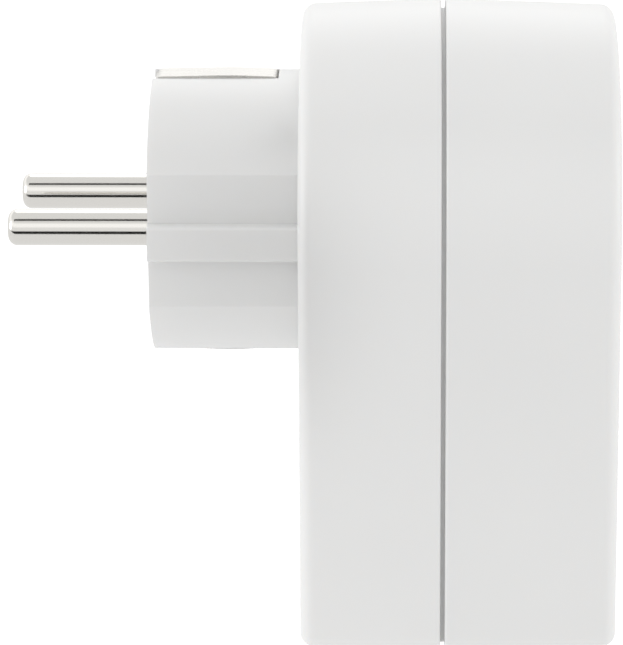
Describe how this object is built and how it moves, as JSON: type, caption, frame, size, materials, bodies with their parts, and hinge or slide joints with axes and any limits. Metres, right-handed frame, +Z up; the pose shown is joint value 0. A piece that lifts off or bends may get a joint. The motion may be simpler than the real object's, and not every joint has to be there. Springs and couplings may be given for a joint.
{
  "type": "plug-in power meter",
  "caption": "Plug-in power meter: a round-pin earthed plug on the back of an arched white housing, with a recessed outlet, a display and keys on the front.",
  "frame": {"origin": "where the plug's axis meets the flat back of the housing, the face that lies against the wall plate", "axes": "+Y out of the back along the plug pins, into the wall; +Z up; -Y is the front with the outlet, display and keys"},
  "size_m": [0.056, 0.0798, 0.0808],
  "materials": {
    "white_housing": "satin moulded",
    "plated_steel": "bright zinc plate",
    "silver_label": "satin film",
    "clear_lens": "clear polycarbonate",
    "nickel_plate": "bright nickel plate",
    "contact_brass": "bright stamped",
    "brown_insulation": "smooth",
    "blue_insulation": "smooth",
    "grey_plastic": "moulded",
    "spring_steel": "drawn",
    "black_plastic": "moulded",
    "circuit_board": "solder mask",
    "manganin": "rolled",
    "yellow_plastic": "moulded",
    "capacitor_sleeve": "shrink sleeve",
    "varistor_coat": "dipped epoxy",
    "resistor_coat": "dipped",
    "connector_plastic": "moulded",
    "ribbon_insulation": "smooth",
    "display_glass": "reflective display glass",
    "pink_rubber": "layered elastomer",
    "grey_rubber": "moulded",
    "grey_key": "moulded"
  },
  "bodies": {
    "meter": {"rear_shell": "white_housing", "plug_body": "white_housing", "front_shell": "white_housing", "socket_cup": "white_housing", "housing_screws": "plated_steel", "board_screws": "plated_steel", "carrier_screws": "plated_steel", "display_screws": "plated_steel", "rating_plate": "silver_label", "display_lens": "clear_lens", "plug_pin_line": "nickel_plate", "plug_pin_neutral": "nickel_plate", "plug_earth_strip": "nickel_plate", "earth_bridge": "contact_brass", "outlet_earth_clip_upper": "nickel_plate", "outlet_earth_clip_lower": "nickel_plate", "outlet_contact_line": "contact_brass", "outlet_contact_neutral": "contact_brass", "wire_line": "brown_insulation", "wire_neutral": "blue_insulation", "shutter_spring": "spring_steel", "contact_carrier": "black_plastic", "main_board": "circuit_board", "display_board": "circuit_board", "shunt": "manganin", "suppression_capacitor": "yellow_plastic", "smoothing_capacitor": "capacitor_sleeve", "varistor": "varistor_coat", "fuse": "black_plastic", "bridge_rectifier": "black_plastic", "metering_chip": "black_plastic", "microcontroller": "black_plastic", "crystal": "plated_steel", "sense_resistors": "resistor_coat", "main_connector": "connector_plastic", "display_connector": "connector_plastic", "ribbon_cable": "ribbon_insulation", "backup_cell": "plated_steel", "cell_holder": "black_plastic", "lcd_frame": "connector_plastic", "lcd_glass": "display_glass", "zebra_strips": "pink_rubber", "key_mat": "grey_rubber", "dome_mode": "grey_rubber", "dome_up": "grey_rubber", "dome_down": "grey_rubber", "dome_reset": "grey_rubber"},
    "mode_key": {"key_mode": "grey_key"},
    "up_key": {"key_up": "grey_key"},
    "down_key": {"key_down": "grey_key"},
    "reset_key": {"key_reset": "grey_key"},
    "shutter_disc": {"shutter": "grey_plastic"}
  },
  "joints": [
    {"name": "mode_key_press", "type": "slide", "parent": "meter", "child": "mode_key", "axis": [0, 1, 0], "range_m": [0, 0.0008], "stiffness_N_per_m": 1200, "deforming": ["dome_mode"]},
    {"name": "up_key_press", "type": "slide", "parent": "meter", "child": "up_key", "axis": [0, 1, 0], "range_m": [0, 0.0008], "stiffness_N_per_m": 1200, "deforming": ["dome_up"]},
    {"name": "down_key_press", "type": "slide", "parent": "meter", "child": "down_key", "axis": [0, 1, 0], "range_m": [0, 0.0008], "stiffness_N_per_m": 1200, "deforming": ["dome_down"]},
    {"name": "reset_key_press", "type": "slide", "parent": "meter", "child": "reset_key", "axis": [0, 1, 0], "range_m": [0, 0.0006], "stiffness_N_per_m": 1200, "deforming": ["dome_reset"]},
    {"name": "shutter_turn", "type": "hinge", "parent": "meter", "child": "shutter_disc", "pos_m": [0, -0.0195, 0], "axis": [0, -1, 0], "range_deg": [0, 37], "stiffness_Nm_per_rad": 0.002, "deforming": ["shutter_spring"]}
  ]
}
